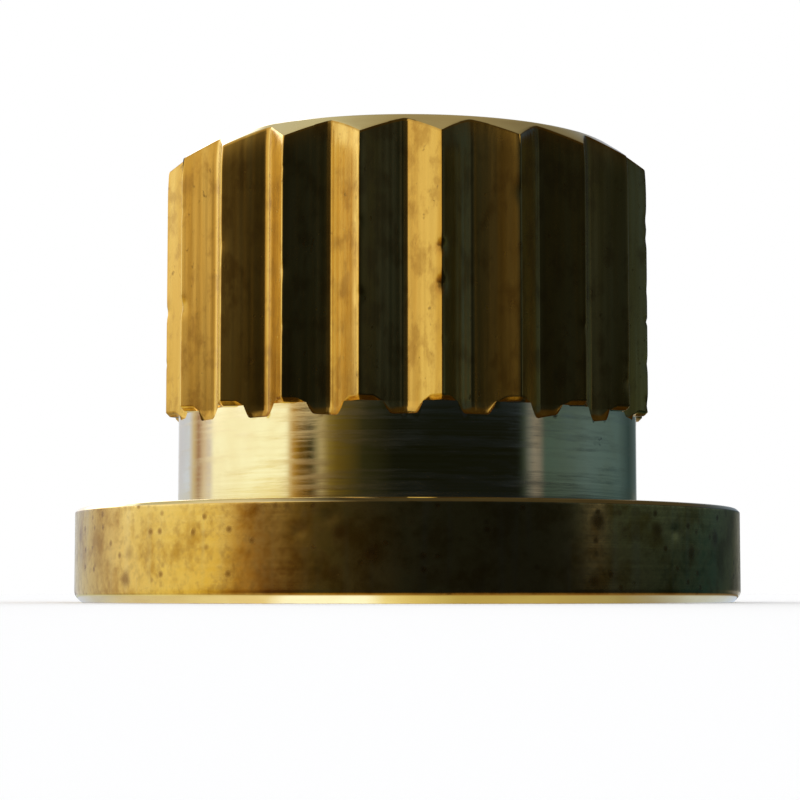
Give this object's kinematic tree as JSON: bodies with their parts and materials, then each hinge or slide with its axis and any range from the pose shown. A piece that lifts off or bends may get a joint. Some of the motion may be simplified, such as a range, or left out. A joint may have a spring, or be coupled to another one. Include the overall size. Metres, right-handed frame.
{
  "type": "spur gear",
  "caption": "Small turned brass spur gear with V-cut straight teeth, chamfered at one end, a plain neck and a flat round flange at the other, staked together by a bored sleeve.",
  "frame": {"origin": "centre of the flange's underside, on the gear's axis", "axes": "+Z along the gear's axis, from the flange towards the chamfered end of the teeth; a tooth gap faces -Y"},
  "size_m": [0.018, 0.018, 0.0123],
  "materials": {
    "toothed_brass": "bright turned neck and V-cut tooth flanks with fine cutter marks",
    "flange_brass": "turned rim with mottled tarnish and faint vertical streaks",
    "sleeve_brass": "plain turned brass with flared ends"
  },
  "bodies": {
    "root": {"toothed_ring": "toothed_brass", "flange_disc": "flange_brass", "core_sleeve": "sleeve_brass"}
  },
  "joints": []
}
